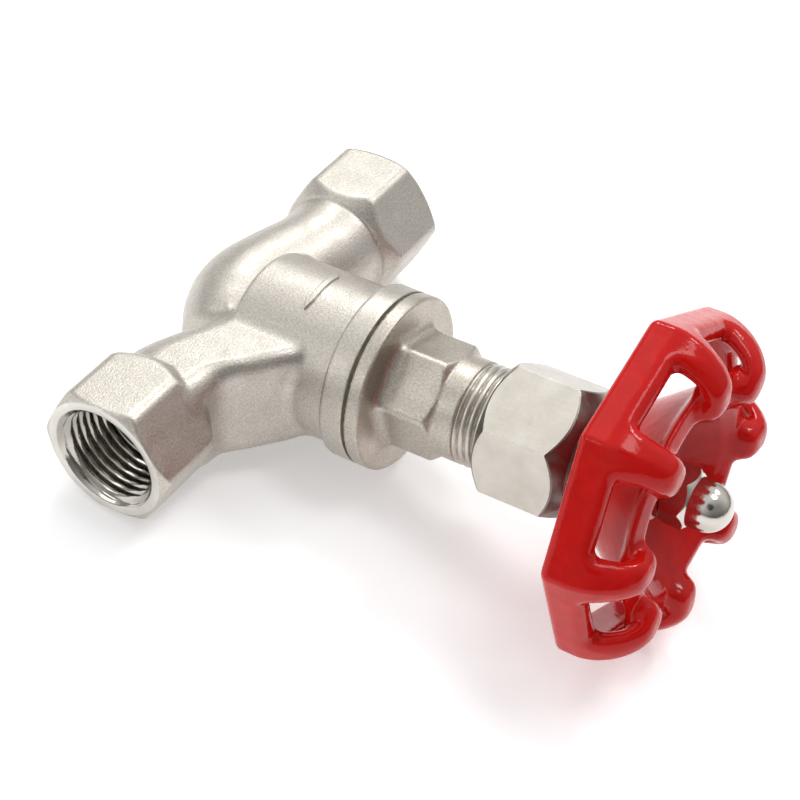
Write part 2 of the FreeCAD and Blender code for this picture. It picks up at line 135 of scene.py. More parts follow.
# Bonnet
bonnet_low, bonnet_top, _ = span_along_stem("bonnet")
flange_low = joint_face + 0.6
gasket_radius = span_along_stem("bonnet_gasket")[2] + 0.1
flange_top = 35.3
flange_edge = 0.6
flange_blend = 2.6
bonnet_hex_flats = 20.2
bonnet_hex_top = 45.5
bonnet_hex_turn = 44.0
bonnet_hex_edge = 0.9
bonnet_cone_start = bonnet_hex_top - 0.3
bonnet_cone_length = 1.1
bonnet_cone_blend = 0.25
bonnet_neck_radius = 9.9
bonnet_neck_edge = 0.4
bonnet_neck_blend = 0.35
bonnet_thread_start = 50.3
bonnet_thread_pitch = 1.5
bonnet_thread_depth = 0.6
bonnet_ring_step = 0.1
spigot_radius = 13.5
spigot_edge = 0.3
pocket_radius = 10.4
pocket_top = 31.0
box_radius = 7.0
box_floor = bonnet_top - 19.5
# The throat starts 0.4 mm higher than in the solid, so that the stem's thread clears it at full lift
throat = box_floor - 2.1

# Stem and gland nut
stem_radius = 4.0
stem_bore = 4.98
stem_gap = 0.1
nut_low, nut_high, _ = span_along_stem("gland_nut")
nut_flats = 24.0
nut_turn = 25.0
nut_low_ring = nut_flats / 2 - 0.1
nut_high_ring = nut_flats / 2 - 1.6
nut_low_chamfer = 1.9
nut_high_chamfer = 3.4
nut_bevel = 0.17
nut_ceiling = bonnet_top + 3.5
gland_hole = 8.8

# Handwheel: an eight-sided shell with a window in each side, so that eight arched posts are left
wheel_posts = 8
wheel_turn = 39.2
hub_back, wheel_front, wheel_corner = span_along_stem("handwheel")
rim_back = hub_back + 2.0
rim_front = rim_back + 7.4
shell_wall = 3.9
post_width = 9.7
post_tip_width = 6.6
arch_middle = 24.0
arch_shoulder = rim_back + 4.5
arch_fullness = 1.7
fingertip = 17.6
fingertip_round = 4.6
fingertip_corner = 3.0
ring_front = rim_back + 13.1
ring_slope = 0.29
ring_back = ring_front - 2.9
ring_outer = 25.4
ring_edge = 1.8
dish_mouth = 18.5
dish_floor = 12.4
dish_round = 1.2
dish_edge = 1.4
dish_back = 14.0
dish_back_slope = 0.76
skirt_step = 1.9
skirt_edge = 0.6
skirt_blend = 1.4
hub_face = hub_back + 7.7
hub_groove = hub_face - 2.2
hub_radius = 8.2
hub_edge = 0.8
hub_blend = 1.0
shaft_square = 6.1
wheel_vertex_round = 0.5
rim_edge = 1.7
shell_edge = 1.6
window_corner = 1.3
window_edge = 1.9
window_blend = 2.0
post_edge = 3.2
post_edge_rise = 4.0
finger_foot = 2.4
finger_blend = 1.6

# Cap nut and washers
cap_low, cap_high, _ = span_along_stem("dome_nut")
cap_flats = 10.0
cap_hex_height = 4.9
cap_bevel = 0.08
cap_bore_radius = 3.1
cap_bore_depth = 4.0
dome_radius = 4.65
dome_rings = 17
cap_turn = wheel_turn + 15

# Skins are found on grids with these steps, which reach this far past the shape
grid_margin = 0.6
side_margin = 0.8
body_grid = 0.36
arrow_grid = 0.11
bonnet_grid = 0.33
wheel_grid = 0.4

# Lamps: name, place and side in metres, and power in watts
lamps = (("back_lamp", (0.51, 0.46, 0.62), 0.2, 1.8),
         ("side_lamp", (0.50, -0.12, 0.74), 0.16, 1.5),
         ("rear_lamp", (0.05, 0.60, 0.79), 0.5, 0.7),
         ("overhead_lamp", (0.12, -0.14, 0.95), 0.26, 1.3),
         ("left_lamp", (-0.75, 0.55, 0.42), 0.36, 1.0))
lamp_aim = (0, 0, 0.02)

# Camera, fitted to the photograph: places in mm, roll in degrees, and lens on a 36 mm wide picture
camera_place = (-237.795, -84.203, 291.502)
camera_target = (-4.787, 6.628, 22.528)
camera_roll = 15.66
camera_lens = 89.57
camera_width = 36.0


# Fields: each gives about the distance in mm to a shape, negative inside it

def smooth_union(a, b, blend):
    """Both shapes as one, with the joint between them filled over about this many mm."""
    mix = np.clip(0.5 + 0.5 * (b - a) / blend, 0, 1)
    return b + (a - b) * mix - blend * mix * (1 - mix)


def smooth_meet(a, b, blend):
    """Only where both shapes are, with a soft edge."""
    return -smooth_union(-a, -b, blend)


def smooth_cut(a, b, blend):
    """The first shape with the second taken out, with a soft edge."""
    return -smooth_union(-a, b, blend)


def rounded(a, b, edge):
    """Where two distances both hold, with the edge between them rounded."""
    a = a + edge
    b = b + edge
    outside = np.hypot(np.maximum(a, 0), np.maximum(b, 0))
    return np.minimum(np.maximum(a, b), 0) + outside - edge


def between(along, low, high):
    """Distance beyond two levels, negative between them."""
    return np.abs(along - (low + high) / 2) - (high - low) / 2


def rod(across, along, radius, low, high, edge):
    """A cylinder with rounded ends."""
    return rounded(across - radius, between(along, low, high), edge)


def many_sided(u, v, sides, flats, turn, edge):
    """A regular prism's field; turn is the azimuth of a corner."""
    field = None
    for k in range(sides):
        angle = math.radians(turn) + math.pi * (2 * k + 1) / sides
        side = u * math.cos(angle) + v * math.sin(angle) - flats / 2
        field = side if field is None else smooth_meet(field, side, edge)
    return field


def cone(across, along, radius, level, slope):
    """Inside of a cone that has this radius at this level and widens by slope per mm."""
    return (across - radius - slope * (along - level)) / math.hypot(1, slope)


def eased(x, knots, values):
    """A smooth curve through values at rising knots."""
    knots = np.asarray(knots, float)
    values = np.asarray(values, float)
    tangent = np.gradient(values, knots)
    place = np.clip(np.searchsorted(knots, x) - 1, 0, len(knots) - 2)
    step = knots[place + 1] - knots[place]
    t = np.clip((x - knots[place]) / step, 0, 1)
    start = values[place] * (1 + 2 * t) * (1 - t) ** 2 + tangent[place] * step * t * (1 - t) ** 2
    end = values[place + 1] * t * t * (3 - 2 * t) - tangent[place + 1] * step * t * t * (1 - t)
    return start + end


def oval_sweep(x, y, z, rows):
    """An oval passage or skin; rows are (x, half width, centre, half height)."""
    knots, widths, centres, heights = zip(*rows)
    width = eased(x, knots, widths)
    centre = eased(x, knots, centres)
    height = eased(x, knots, heights)
    ring = (np.hypot(y / width, (z - centre) / height) - 1) * np.minimum(width, height)
    return np.maximum(ring, between(x, knots[0], knots[-1]))


def box_sweep(x, y, z, rows):
    """A skin with rounded-box sections; rows are (x, half width, bottom, top, low corner, high corner)."""
    knots, widths, bottoms, tops, low_corners, high_corners = zip(*rows)
    bottom = eased(x, knots, bottoms)
    top = eased(x, knots, tops)
    high = z > (bottom + top) / 2
    corner = np.where(high, eased(x, knots, high_corners), eased(x, knots, low_corners))
    ring = rounded(np.abs(y) - eased(x, knots, widths), between(z, bottom, top), corner)
    return np.maximum(ring, between(x, knots[0], knots[-1]))


# Meshes

def skin(field, low, high, step):
    """Vertices and quads of a field's zero surface, found on a grid and then drawn onto the surface."""
    lines = [np.arange(a, b + step, step) for a, b in zip(low, high)]
    x, y, z = np.meshgrid(*lines, indexing="ij")
    value = field(x, y, z)
    inside = value < 0
    cells = np.array(value.shape) - 1
    total = np.zeros((cells.prod(), 3))
    count = np.zeros(cells.prod())
    crossings = []
    # Each grid line that crosses the surface gives its point to the four cells round it, and a quad
    for axis in range(3):
        others = [a for a in range(3) if a != axis]
        first = [slice(None)] * 3
        second = [slice(None)] * 3
        first[axis] = slice(0, -1)
        second[axis] = slice(1, None)
        changes = inside[tuple(first)] != inside[tuple(second)]
        for a in others:
            edge_rows = [slice(None)] * 3
            edge_rows[a] = 0
            changes[tuple(edge_rows)] = False
            edge_rows[a] = -1
            changes[tuple(edge_rows)] = False
        start = np.argwhere(changes)
        end = start.copy()
        end[:, axis] += 1
        a_value = value[tuple(start.T)]
        b_value = value[tuple(end.T)]
        point = start.astype(float)
        point[:, axis] += a_value / (a_value - b_value)
        around = []
        for da, db in ((-1, -1), (0, -1), (0, 0), (-1, 0)):
            cell = start.copy()
            cell[:, others[0]] += da
            cell[:, others[1]] += db
            index = np.ravel_multi_index(tuple(cell.T), tuple(cells))
            around.append(index)
            for c in range(3):
                total[:, c] += np.bincount(index, point[:, c], minlength=len(count))
            count += np.bincount(index, minlength=len(count))
        quads = np.stack(around, 1)
        flip = (a_value < 0) == (axis == 1)
        quads[flip] = quads[flip][:, ::-1]
        crossings.append(quads)
    # Each cell's vertex is the mean of its points, and then follows the field's slope to the surface
    used = np.flatnonzero(count)
    number = np.full(len(count), -1)
    number[used] = np.arange(len(used))
    points = np.array(low) + total[used] / count[used][:, None] * step
    nudge = 0.05
    least_slope = 0.2
    for _ in range(3):
        here = field(*points.T)
        slope = np.zeros_like(points)
        for c in range(3):
            shifted = points.copy()
            shifted[:, c] += nudge
            slope[:, c] = (field(*shifted.T) - here) / nudge
        size = np.maximum((slope ** 2).sum(1), least_slope)
        move = -(here / size)[:, None] * slope
        points += np.clip(move, -step / 2, step / 2)
    return points, number[np.concatenate(crossings)].tolist()


def ring_faces(rings, around, closed):
    """Quads between rings of points; closed joins the last ring to the first."""
    faces = []
    for k in range(rings if closed else rings - 1):
        a = k * around
        b = (k + 1) % rings * around
        for j in range(around):
            n = (j + 1) % around
            faces.append((a + j, a + n, b + n, b + j))
    return faces


def azimuths(count):
    return 2 * math.pi * np.arange(count) / count


def turned_rings(profile, angle):
    """Points of rings about the stem axis; rows are (radius, level), and each may vary with the angle."""
    rings = []
    for radius, level in profile:
        radius = np.broadcast_to(radius, angle.shape)
        level = np.broadcast_to(level, angle.shape)
        rings.append(np.stack([radius * np.cos(angle), radius * np.sin(angle), level], 1))
    return np.concatenate(rings)


def piece(name, points, faces, body, material, sharp=0):
    """A smooth mesh object from points in mm in the valve's own frame; edges over the sharp angle stay hard."""
    mesh = bpy.data.meshes.new(name)
    mesh.from_pydata(to_world(points).tolist(), [], faces)
    mesh.validate()
    made = bpy.data.objects.new(name, mesh)
    bpy.context.scene.collection.objects.link(made)
    mesh.materials.append(material)
    mesh.polygons.foreach_set("use_smooth", [True] * len(mesh.polygons))
    if sharp:
        mesh.set_sharp_from_angle(angle=math.radians(sharp))
    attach(made, body)
    return made


# Materials

def linear(code):
    """An sRGB hex colour as a linear one."""
    parts = [int(code[k:k + 2], 16) / 255 for k in (1, 3, 5)]
    return [p / 12.92 if p <= 0.04045 else ((p + 0.055) / 1.055) ** 2.4 for p in parts] + [1.0]


def add(material, kind, links=(), stops=(), **settings):
    """A node with its settings, colour stops and links; a link is (socket, other node, its output)."""
    node = material.node_tree.nodes.new(kind)
    for key, value in settings.items():
        if hasattr(node, key):
            setattr(node, key, value)
        else:
            node.inputs[key.replace("_", " ")].default_value = value
    for number, (position, code) in enumerate(stops):
        elements = node.color_ramp.elements
        stop = elements[number] if number < len(elements) else elements.new(position)
        stop.position = position
        stop.color = linear(code)
    for socket, other, output in links:
        material.node_tree.links.new(other.outputs[output], node.inputs[socket])
    return node


def new_material(name):
    material = bpy.data.materials.new(name)
    material.use_nodes = True
    material.node_tree.nodes.clear()
    return material


def cast_stainless(name, light, dark, low_rough, high_rough):
    """Investment-cast stainless, blasted and pickled: a satin, warm grey skin with a fine sandy grain."""
    material = new_material(name)
    place = add(material, "ShaderNodeTexCoord")
    clouds = add(material, "ShaderNodeTexNoise", [("Vector", place, "Object")], Scale=1 / (4 * MM),
                 Detail=3.0)
    # The real grain is about 0.15 mm, too fine to show in the render, so it is drawn coarser
    sand = add(material, "ShaderNodeTexNoise", [("Vector", place, "Object")], Scale=1 / (0.36 * MM),
               Detail=2.0, Roughness=0.6)
    tint = add(material, "ShaderNodeValToRGB", [("Fac", sand, "Fac")], [(0.35, dark), (0.65, light)])
    rough = add(material, "ShaderNodeMapRange", [("Value", clouds, "Fac")], From_Min=0.3, From_Max=0.7,
                To_Min=low_rough, To_Max=high_rough)
    bump = add(material, "ShaderNodeBump", [("Height", sand, "Fac")], Strength=0.45, Distance=0.15 * MM)
    shader = add(material, "ShaderNodeBsdfPrincipled",
                 [("Base Color", tint, "Color"), ("Roughness", rough, "Result"), ("Normal", bump, "Normal")],
                 Metallic=1.0)
    add(material, "ShaderNodeOutputMaterial", [("Surface", shader, "BSDF")])
    return material


def machined_stainless(name, light, dark, low_rough, high_rough):
    """Turned or milled stainless: smoother than the casting, with faint clouds and fine tool marks."""
    material = new_material(name)
    place = add(material, "ShaderNodeTexCoord")
    # Real tool marks are about 0.1 mm apart, too fine to show in the render, so they are drawn coarser
    marks = add(material, "ShaderNodeTexNoise", [("Vector", place, "Object")], Scale=1 / (0.5 * MM),
                Detail=3.0)
    clouds = add(material, "ShaderNodeTexNoise", [("Vector", place, "Object")], Scale=1 / (5 * MM),
                 Detail=4.0)
    tint = add(material, "ShaderNodeValToRGB", [("Fac", clouds, "Fac")], [(0.3, dark), (0.7, light)])
    rough = add(material, "ShaderNodeMapRange", [("Value", marks, "Fac")], From_Min=0.3, From_Max=0.7,
                To_Min=low_rough, To_Max=high_rough)
    bump = add(material, "ShaderNodeBump", [("Height", marks, "Fac")], Strength=0.3, Distance=0.06 * MM)
    shader = add(material, "ShaderNodeBsdfPrincipled",
                 [("Base Color", tint, "Color"), ("Roughness", rough, "Result"), ("Normal", bump, "Normal")],
                 Metallic=1.0)
    add(material, "ShaderNodeOutputMaterial", [("Surface", shader, "BSDF")])
    return material


def dipped_enamel(name, light, dark):
    """Thick dip coating on the cast wheel: one glossy, deep red skin with soft waves under the shine."""
    material = new_material(name)
    place = add(material, "ShaderNodeTexCoord")
    waves = add(material, "ShaderNodeTexNoise", [("Vector", place, "Object")], Scale=1 / (3 * MM),
                Detail=3.0)
    tint = add(material, "ShaderNodeValToRGB", [("Fac", waves, "Fac")], [(0.3, dark), (0.7, light)])
    bump = add(material, "ShaderNodeBump", [("Height", waves, "Fac")], Strength=0.4, Distance=0.35 * MM)
    shader = add(material, "ShaderNodeBsdfPrincipled",
                 [("Base Color", tint, "Color"), ("Normal", bump, "Normal")],
                 Roughness=0.14, IOR=1.45, Specular_IOR_Level=0.28)
    add(material, "ShaderNodeOutputMaterial", [("Surface", shader, "BSDF")])
    return material


def matt_seal(name, light, dark, roughness):
    """Moulded PTFE or pressed fibre: matt and slightly uneven in colour, so that it looks soft."""
    material = new_material(name)
    place = add(material, "ShaderNodeTexCoord")
    clouds = add(material, "ShaderNodeTexNoise", [("Vector", place, "Object")], Scale=1 / (2 * MM),
                 Detail=4.0)
    tint = add(material, "ShaderNodeValToRGB", [("Fac", clouds, "Fac")], [(0.3, dark), (0.7, light)])
    shader = add(material, "ShaderNodeBsdfPrincipled", [("Base Color", tint, "Color")], Roughness=roughness)
    add(material, "ShaderNodeOutputMaterial", [("Surface", shader, "BSDF")])
    return material


body_steel = cast_stainless("cast_stainless_body", "#CCC7BF", "#B5AFA6", 0.38, 0.5)
bonnet_steel = cast_stainless("cast_stainless_bonnet", "#C5BFB5", "#ACA59A", 0.36, 0.47)
faced_steel = machined_stainless("faced_stainless", "#DAD7D0", "#CDC9C1", 0.26, 0.36)
thread_steel = machined_stainless("cut_thread_stainless", "#C4C0B8", "#A9A49B", 0.11, 0.19)
# The nut's steel again, much darker: painted shade for the nut's coned ends, which lie in the shadow between the
# wheel and the bonnet
turned_steel = machined_stainless("turned_nut_painted_shade", "#918D87", "#7F7B75", 0.28, 0.38)
nut_steel = machined_stainless("milled_nut_stainless", "#CCC7BE", "#BDB7AD", 0.3, 0.42)
stem_steel = machined_stainless("turned_stem_stainless", "#BDB9B2", "#A39E96", 0.18, 0.28)
cap_steel = machined_stainless("polished_cap_steel", "#D3CFC8", "#C3BEB6", 0.1, 0.2)
wheel_enamel = dipped_enamel("dipped_red_enamel", "#C4120E", "#B80F0C")
packing_ptfe = matt_seal("moulded_ptfe", "#E6E3DC", "#D6D2C8", 0.45)
gasket_fibre = matt_seal("pressed_fibre", "#5E5540", "#3A3528", 0.8)


# Body casting

def end_hexagon(x, y, z, side):
    """A cast hexagon end with a coned nose and heel; its end lies just behind the port's faced ring."""
    depth = port_end - side * x
    across = np.hypot(y, z)
    corner = end_hex_flats / math.sqrt(3)
    nose_radius = end_hex_flats / 2 - face_gap
    prism = many_sided(y, z, 6, end_hex_flats, 90, cast_edge)
    nose = cone(across, depth, nose_radius, 0, (corner - nose_radius) / end_hex_nose)
    heel = cone(across, depth, corner, end_hex_length, (end_hex_flats / 2 - corner) / end_hex_heel)
    coned = smooth_meet(smooth_meet(prism, heel, heel_blend), nose, nose_blend)
    return np.maximum(coned, between(depth, face_gap, face_gap + end_hex_length + end_hex_heel + 1))


def outlet_skin(x, y, z):
    """The end that rises to the chamber: its far side is a flat that climbs towards the neck."""
    rows = [(neck_radius - 6.8, tube_radius - 0.4, 0.0, 23.6, 6.0, 3.5),
            (neck_radius - 2.0, tube_radius, -3.0, 20.6, 8.0, 3.5),
            (neck_radius + 4.5, tube_radius, -6.8, 15.4, 8.5, 3.5),
            (neck_radius + 9.5, tube_radius, -9.3, 11.4, 9.0, 4.0),
            (straight_start, tube_radius, -tube_radius, tube_radius, 10.8, 5.0),
            (straight_end, tube_radius, -tube_radius, tube_radius, 10.8, 7.0)]
    return box_sweep(-x, y, z, rows)


def inlet_skin(x, y, z):
    """The end that dips under the seat: round, with a belly below the neck."""
    rows = [(-13.0, 2.5, -0.2, 2.5),
            (-11.5, 6.6, -0.6, 6.6),
            (-8.0, 9.2, -1.6, 9.2),
            (-2.0, 11.1, -2.9, 11.1),
            (5.5, 11.7, -3.6, 11.7),
            (neck_radius - 1.8, 11.4, -2.3, 11.4),
            (neck_radius + 7.2, tube_radius, -0.2, tube_radius),
            (straight_start, tube_radius, 0.0, tube_radius),
            (straight_end, tube_radius, 0.0, tube_radius)]
    return oval_sweep(x, y, z, rows)


def outlet_passage(x, y, z):
    """From above the seat down to the outlet."""
    inside = tube_radius - wall
    rows = [(chamber_radius - 3.2, inside, 12.8, inside - 2.4),
            (neck_radius - 2.0, inside + 0.5, 9.6, inside - 0.8),
            (neck_radius + 4.5, inside + 0.5, 3.6, inside),
            (neck_radius + 9.5, inside + 0.5, 0.6, inside),
            (port_end - pipe_length, inside + 1.0, 0.0, inside + 1.0)]
    return oval_sweep(-x, y, z, rows)


def inlet_passage(x, y, z):
    """From the inlet down to below the seat."""
    inside = tube_radius - wall
    top = chamber_floor - 4.2
    rows = [(-7.6, inside - 2.6, top - inside + 2.6, inside - 4.0),
            (-3.5, inside, top - inside + 0.8, inside - 1.0),
            (3.0, inside + 0.8, top - inside + 0.2, inside - 0.4),
            (chamber_radius - 2.5, inside + 0.8, top - inside + 0.8, inside - 0.2),
            (neck_radius - 1.8, inside + 0.6, top - inside + 2.6, inside),
            (neck_radius + 7.2, inside + 0.3, -0.4, inside),
            (port_end - pipe_length, inside + 1.0, 0.0, inside + 1.0)]
    return oval_sweep(x, y, z, rows)


def arrow_field(x, y, z):
    """Raised arrow with its barb on one side; it points along the flow, from the inlet to the outlet."""
    around = neck_radius * np.arctan2(x, y)
    head = (around - arrow_tip) / (arrow_barb - arrow_tip)
    low_side = np.where(head < 1, arrow_barb_width * head, arrow_half_width)
    high_side = np.minimum(arrow_half_width, arrow_half_width * head)
    flat = np.maximum(arrow_level - z - low_side, z - arrow_level - high_side)
    ends = np.maximum(arrow_tip - around, around - arrow_tail)
    height = np.abs(np.hypot(x, y) - neck_radius) - arrow_height
    return rounded(np.maximum(flat, ends), height, 0.12)


def body_hollow(x, y, z):
    """The chamber and its mouth, both passages, and both ports with room for their threads."""
    r = np.hypot(x, y)
    across = np.hypot(y, z)
    chamber = rod(r, z, chamber_radius, chamber_floor, chamber_top, 0.8)
    mouth = np.maximum(r - spigot_radius - 0.1, mouth_floor - z)
    parts = [chamber, mouth, outlet_passage(x, y, z), inlet_passage(x, y, z)]
    for side in (-1, 1):
        depth = port_end - side * x
        parts.append(np.maximum(across - pipe_major / 2 - 0.2, depth - drill_depth + 0.7))
        parts.append(np.maximum(across - pipe_minor / 2, depth - drill_depth))
    return np.minimum.reduce(parts)


def body_field(x, y, z):
    r = np.hypot(x, y)
    tubes = smooth_union(outlet_skin(x, y, z), inlet_skin(x, y, z), cast_blend)
    # The neck's foot is sharp where it shows and rounder beneath, so that it stays above the floor
    under = np.clip((-y - 0.7 * neck_radius) / (0.25 * neck_radius), 0, 1)
    foot_round = neck_round + (neck_under_round - neck_round) * under
    neck = rounded(r - neck_radius, neck_start - z, foot_round)
    neck = np.maximum(neck, z - joint_face)
    solid = smooth_union(tubes, neck, neck_blend)
    for side in (-1, 1):
        solid = smooth_union(solid, end_hexagon(x, y, z, side), end_hex_blend)
    face = joint_face + np.where(r > gasket_radius, joint_lip, 0)
    rim = rounded(rounded(r - rim_radius, rim_start - z, rim_round), z - face, joint_edge)
    solid = smooth_cut(np.minimum(solid, rim), body_hollow(x, y, z), hollow_edge)
    land = np.maximum(r - seat_bore_radius - seat_land_width, np.abs(z - chamber_floor) - seat_land)
    seat_bore = np.maximum(r - seat_bore_radius, np.abs(z - chamber_floor) - bridge_reach)
    return np.maximum(np.minimum(solid, land), -seat_bore)


def body_casting():
    reach = rim_radius + side_margin
    low = (-port_end - grid_margin, -reach, body_low)
    high = (port_end + grid_margin, reach, joint_face + grid_margin)
    points, faces = skin(body_field, low, high, body_grid)
    made = piece("body_casting", points, faces, "casing", body_steel)
    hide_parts("valve_body")


def flow_arrow():
    reach = neck_radius + arrow_height + 0.3
    low = (arrow_tip - 0.3, reach - 2.6, arrow_level - 1.6)
    high = (arrow_tail + 0.3, reach, arrow_level + 1.2)
    points, faces = skin(arrow_field, low, high, arrow_grid)
    made = piece("flow_arrow", points, faces, "casing", body_steel)
    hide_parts("valve_body")


def port_profile(angle, side):
    """Rings of a faced and threaded port, from the rear of its face round through the thread and back."""
    minor = pipe_minor / 2
    mouth = pipe_major / 2 + mouth_chamfer
    back = pipe_major / 2 + 0.12
    end = drill_depth - 0.45
    rings = [(faced_radius + faced_edge, faced_depth), (faced_radius + faced_edge, 0.1),
             (faced_radius, 0.0), (mouth + faced_edge, 0.0), (mouth, 0.06)]
    for depth in np.arange(0.12, pipe_length + 1.2, pipe_ring_step):
        turn = depth / pipe_pitch + side * angle / (2 * math.pi)
        slant = np.abs(2 * (turn % 1) - 1)
        crest = 0.45 * slant + 0.55 * slant * slant * (3 - 2 * slant)
        fade = np.clip((pipe_length + 0.9 - depth) / pipe_run_out, 0, 1)
        cut = minor + (pipe_major - pipe_minor) / 2 * crest * fade
        rings.append((np.maximum(cut, mouth - depth), depth))
    return rings + [(minor, drill_depth - 0.6), (minor, end), (back, end), (back, faced_depth)]


def threaded_port(name, side):
    """A port's thread and the faced ring round its mouth, as one closed skin about the flow axis."""
    around = 160
    faced_strips = 4
    angle = azimuths(around)
    rings = []
    for radius, depth in port_profile(angle, side):
        radius = np.broadcast_to(radius, angle.shape)
        along = np.full(around, side * (port_end - depth))
        rings.append(np.stack([along, radius * np.cos(angle), radius * np.sin(angle)], 1))
    faces = ring_faces(len(rings), around, True)
    if side > 0:
        faces = [face[::-1] for face in faces]
    made = piece(name, np.concatenate(rings), faces, "casing", thread_steel, 50)
    made.data.materials.append(faced_steel)
    for polygon in made.data.polygons:
        if polygon.index < faced_strips * around:
            polygon.material_index = 1
    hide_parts("valve_body")


# Bonnet

def bonnet_field(x, y, z):
    r = np.hypot(x, y)
    corner = bonnet_hex_flats / math.sqrt(3)
    cone_slope = (bonnet_hex_flats / 2 - corner) / bonnet_cone_length
    face = flange_low - np.where(r > gasket_radius, joint_lip, 0)
    flange = rounded(rounded(r - rim_radius, z - flange_top, flange_edge), face - z, joint_edge)
    prism = many_sided(x, y, 6, bonnet_hex_flats, bonnet_hex_turn, bonnet_hex_edge)
    prism = smooth_meet(prism, cone(r, z, corner, bonnet_cone_start, cone_slope), bonnet_cone_blend)
    prism = np.maximum(prism, flange_low - z)
    neck = rod(r, z, bonnet_neck_radius, flange_low, bonnet_thread_start + 0.3, bonnet_neck_edge)
    solid = smooth_union(flange, prism, flange_blend)
    solid = smooth_union(solid, neck, bonnet_neck_blend)
    core = rod(r, z, bonnet_neck_radius - 1.0, flange_low, bonnet_top, 0.3)
    spigot = rod(r, z, spigot_radius, bonnet_low, flange_low + 1, spigot_edge)
    solid = np.minimum.reduce([solid, core, spigot])
    bore = np.minimum(r - stem_bore, np.maximum(r - pocket_radius, z - pocket_top))
    bore = np.maximum(bore, z - throat)
    packing_box = np.maximum(r - box_radius, box_floor - z)
    bore = np.minimum.reduce([bore, r - stem_radius - stem_gap, packing_box])
    return np.maximum(solid, -bore)


def bonnet_casting():
    reach = rim_radius + side_margin
    low = (-reach, -reach, bonnet_low - grid_margin)
    high = (reach, reach, bonnet_top + grid_margin)
    points, faces = skin(bonnet_field, low, high, bonnet_grid)
    made = piece("bonnet_casting", points, faces, "casing", bonnet_steel)
    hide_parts("bonnet")


def bonnet_thread():
    """The M20 thread that the gland nut runs on, cut into the top of the bonnet's neck."""
    around = 160
    angle = azimuths(around)
    root = bonnet_neck_radius - bonnet_thread_depth
    rings = [(root - 0.4, bonnet_thread_start), (root, bonnet_thread_start + 0.02)]
    for level in np.arange(bonnet_thread_start + 0.1, bonnet_top - 0.1, bonnet_ring_step):
        turn = level / bonnet_thread_pitch - angle / (2 * math.pi)
        shape = np.sin(math.pi * (turn % 1)) ** 0.7
        fade = np.clip(min(level - bonnet_thread_start, bonnet_top - level) / 0.7, 0, 1)
        rings.append((root + bonnet_thread_depth * shape * fade, level))
    rings.append((root - 0.4, bonnet_top - 0.05))
    faces = ring_faces(len(rings), around, True)
    made = piece("bonnet_thread", turned_rings(rings, angle), faces, "casing", nut_steel, 60)
    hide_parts("bonnet")


# Gland nut and cap nut

def hexagon_angles(turn, flats, bevel, per_side):
    """Azimuths round a hexagon, closer together at its corners, and its radius at each."""
    angles = []
    corner = flats / math.sqrt(3)
    for k in range(6):
        start = math.radians(turn + 60 * k)
        gap = bevel / corner
        angles += [start - gap, start, start + gap]
        angles += [start + gap + (math.pi / 3 - 2 * gap) * j / per_side for j in range(1, per_side)]
    angles = np.array(angles)
    turned_by = (angles - math.radians(turn)) % (math.pi / 3) - math.pi / 6
    radius = flats / 2 / np.cos(turned_by)
    return angles, np.minimum(radius, corner - bevel * 0.6)


def gland_nut():
    """Milled hexagon nut, turned to a cone at both ends so that its flats end in arcs."""
    angles, hexagon = hexagon_angles(nut_turn, nut_flats, nut_bevel, 14)
    corner = nut_flats / math.sqrt(3)
    low_slope = nut_low_chamfer / (corner - nut_low_ring)
    high_slope = nut_high_chamfer / (corner - nut_high_ring)
    low_arc = nut_low + (hexagon - nut_low_ring) * low_slope
    high_arc = nut_high - (hexagon - nut_high_ring) * high_slope
    thread_hole = bonnet_neck_radius + 0.1
    stem_hole = stem_radius + 0.4
    rings = [(thread_hole, nut_low + 0.6), (thread_hole + 0.6, nut_low), (nut_low_ring - nut_bevel, nut_low),
             (nut_low_ring, nut_low + 0.05), (hexagon - nut_bevel, low_arc - nut_bevel * low_slope),
             (hexagon, low_arc + nut_bevel), (hexagon, (low_arc + high_arc) / 2),
             (hexagon, high_arc - nut_bevel), (hexagon - nut_bevel, high_arc + nut_bevel * high_slope),
             (nut_high_ring, nut_high - 0.08), (nut_high_ring - 0.15, nut_high), (stem_hole + 1.0, nut_high),
             (stem_hole, nut_high - 0.8), (stem_hole, nut_ceiling), (gland_hole, nut_ceiling),
             (gland_hole, bonnet_top + 0.6), (thread_hole, bonnet_top + 0.6)]
    faces = ring_faces(len(rings), len(angles), True)
    made = piece("gland_nut_milled", turned_rings(rings, angles), faces, "casing", nut_steel, 20)
    # Faces that look along the stem, mainly the coned ends, take the darker steel as painted shade
    made.data.materials.append(turned_steel)
    for polygon in made.data.polygons:
        if abs(polygon.normal.dot(stem_axis)) > 0.2:
            polygon.material_index = 1
    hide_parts("gland_nut")


